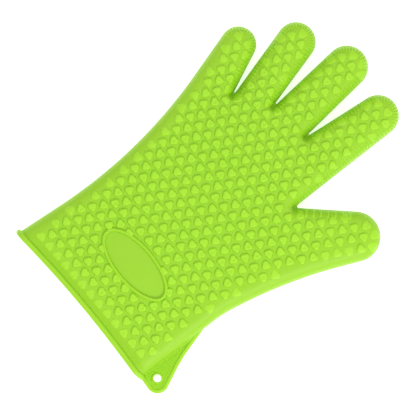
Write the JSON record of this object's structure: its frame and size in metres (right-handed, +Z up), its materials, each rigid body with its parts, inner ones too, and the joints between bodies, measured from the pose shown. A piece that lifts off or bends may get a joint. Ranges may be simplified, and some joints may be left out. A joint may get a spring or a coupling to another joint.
{
  "type": "heat resistant glove",
  "caption": "Silicone five-finger grilling glove with heart-shaped grip studs, an oval panel, a beaded open cuff and a hanging tab.",
  "frame": {"origin": "centre of the glove's footprint, on the surface it lies on", "axes": "+Y from the cuff towards the fingertips, +X towards the thumb side, +Z up out of the gripping face"},
  "size_m": [0.1892, 0.2757, 0.0223],
  "materials": {
    "silicone_skin": "satin moulded silicone, studded",
    "silicone_trim": "smooth satin moulded silicone"
  },
  "bodies": {
    "hand": {"hand_shell": "silicone_skin"},
    "cuff": {"cuff_sleeve": "silicone_skin", "cuff_rim": "silicone_trim", "oval_frame": "silicone_trim"},
    "tab": {"hang_tab": "silicone_trim", "tab_rim": "silicone_trim"},
    "little_base": {"little_base": "silicone_skin"},
    "little_tip": {"little_tip": "silicone_skin"},
    "ring_base": {"ring_base": "silicone_skin"},
    "ring_tip": {"ring_tip": "silicone_skin"},
    "middle_base": {"middle_base": "silicone_skin"},
    "middle_tip": {"middle_tip": "silicone_skin"},
    "index_base": {"index_base": "silicone_skin"},
    "index_tip": {"index_tip": "silicone_skin"},
    "thumb_base": {"thumb_base": "silicone_skin"},
    "thumb_tip": {"thumb_tip": "silicone_skin"}
  },
  "joints": [
    {"name": "wrist_flex", "type": "hinge", "parent": "hand", "child": "cuff", "pos_m": [-0.02045, -0.05505, 0.022], "axis": [-1, 0, 0], "range_deg": [0, 40], "stiffness_Nm_per_rad": 0.12},
    {"name": "little_knuckle", "type": "hinge", "parent": "hand", "child": "little_base", "pos_m": [-0.07334, 0.04885, 0.022], "axis": [0.9537, 0.3007, 0], "range_deg": [0, 60], "stiffness_Nm_per_rad": 0.06},
    {"name": "little_bend", "type": "hinge", "parent": "little_base", "child": "little_tip", "pos_m": [-0.07918, 0.06737, 0.022], "axis": [0.9537, 0.3007, 0], "range_deg": [0, 65], "stiffness_Nm_per_rad": 0.05},
    {"name": "ring_knuckle", "type": "hinge", "parent": "hand", "child": "ring_base", "pos_m": [-0.04706, 0.06905, 0.022], "axis": [0.9781, 0.2079, 0], "range_deg": [0, 60], "stiffness_Nm_per_rad": 0.06},
    {"name": "ring_bend", "type": "hinge", "parent": "ring_base", "child": "ring_tip", "pos_m": [-0.05243, 0.09429, 0.022], "axis": [0.9781, 0.2079, 0], "range_deg": [0, 65], "stiffness_Nm_per_rad": 0.05},
    {"name": "middle_knuckle", "type": "hinge", "parent": "hand", "child": "middle_base", "pos_m": [-0.01548, 0.07382, 0.022], "axis": [0.9992, 0.0401, 0], "range_deg": [0, 60], "stiffness_Nm_per_rad": 0.06},
    {"name": "middle_bend", "type": "hinge", "parent": "middle_base", "child": "middle_tip", "pos_m": [-0.01674, 0.10519, 0.022], "axis": [0.9992, 0.0401, 0], "range_deg": [0, 65], "stiffness_Nm_per_rad": 0.05},
    {"name": "index_knuckle", "type": "hinge", "parent": "hand", "child": "index_base", "pos_m": [0.01839, 0.07226, 0.022], "axis": [0.9928, -0.1201, 0], "range_deg": [0, 60], "stiffness_Nm_per_rad": 0.06},
    {"name": "index_bend", "type": "hinge", "parent": "index_base", "child": "index_tip", "pos_m": [0.02176, 0.10014, 0.022], "axis": [0.9928, -0.1201, 0], "range_deg": [0, 65], "stiffness_Nm_per_rad": 0.05},
    {"name": "thumb_knuckle", "type": "hinge", "parent": "hand", "child": "thumb_base", "pos_m": [0.05695, 0.0182, 0.022], "axis": [0.8049, -0.5934, 0], "range_deg": [0, 45], "stiffness_Nm_per_rad": 0.06},
    {"name": "thumb_bend", "type": "hinge", "parent": "thumb_base", "child": "thumb_tip", "pos_m": [0.07125, 0.03759, 0.022], "axis": [0.8049, -0.5934, 0], "range_deg": [0, 55], "stiffness_Nm_per_rad": 0.05},
    {"name": "tab_flex", "type": "hinge", "parent": "cuff", "child": "tab", "pos_m": [0.05175, -0.13645, 0.011], "axis": [0.0192, 0.9998, 0], "range_deg": [-40, 40], "stiffness_Nm_per_rad": 0.02}
  ]
}
